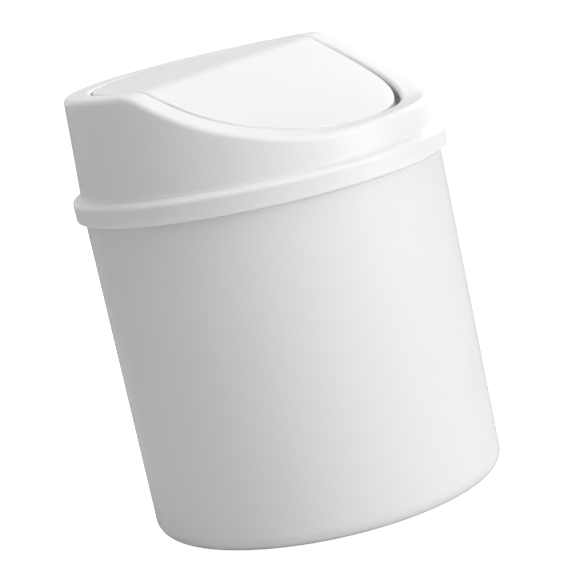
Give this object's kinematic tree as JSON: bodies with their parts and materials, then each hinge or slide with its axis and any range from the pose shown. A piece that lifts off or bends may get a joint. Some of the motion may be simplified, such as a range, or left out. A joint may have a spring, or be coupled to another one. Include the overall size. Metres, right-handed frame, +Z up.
{
  "type": "countertop trash can with swing lid",
  "caption": "Small round countertop trash can: drafted bucket, lift-off lid housing with a rounded band and a hollow sloping top, and a bent flap that swings about a pivot across the opening.",
  "frame": {"origin": "on the bin's vertical axis, at the surface it stands on", "axes": "+Z up along the bin's axis, X along the flap's pivot, -Y towards the low front of the lid"},
  "size_m": [0.1586, 0.1586, 0.1896],
  "materials": {
    "bucket_plastic": "smooth semi-gloss white polypropylene",
    "housing_plastic": "satin white polypropylene",
    "flap_plastic": "satin white polypropylene"
  },
  "bodies": {
    "bin": {"bin_body": "bucket_plastic"},
    "lid": {"lid_housing": "housing_plastic"},
    "flap": {"swing_flap": "flap_plastic"}
  },
  "joints": [
    {"name": "lid_lift", "type": "slide", "parent": "bin", "child": "lid", "axis": [0, 0, 1], "range_m": [0, 0.06]},
    {"name": "flap_swing", "type": "hinge", "parent": "lid", "child": "flap", "pos_m": [0, 0, 0.182], "axis": [1, 0, 0], "range_deg": [-90, 90]}
  ]
}
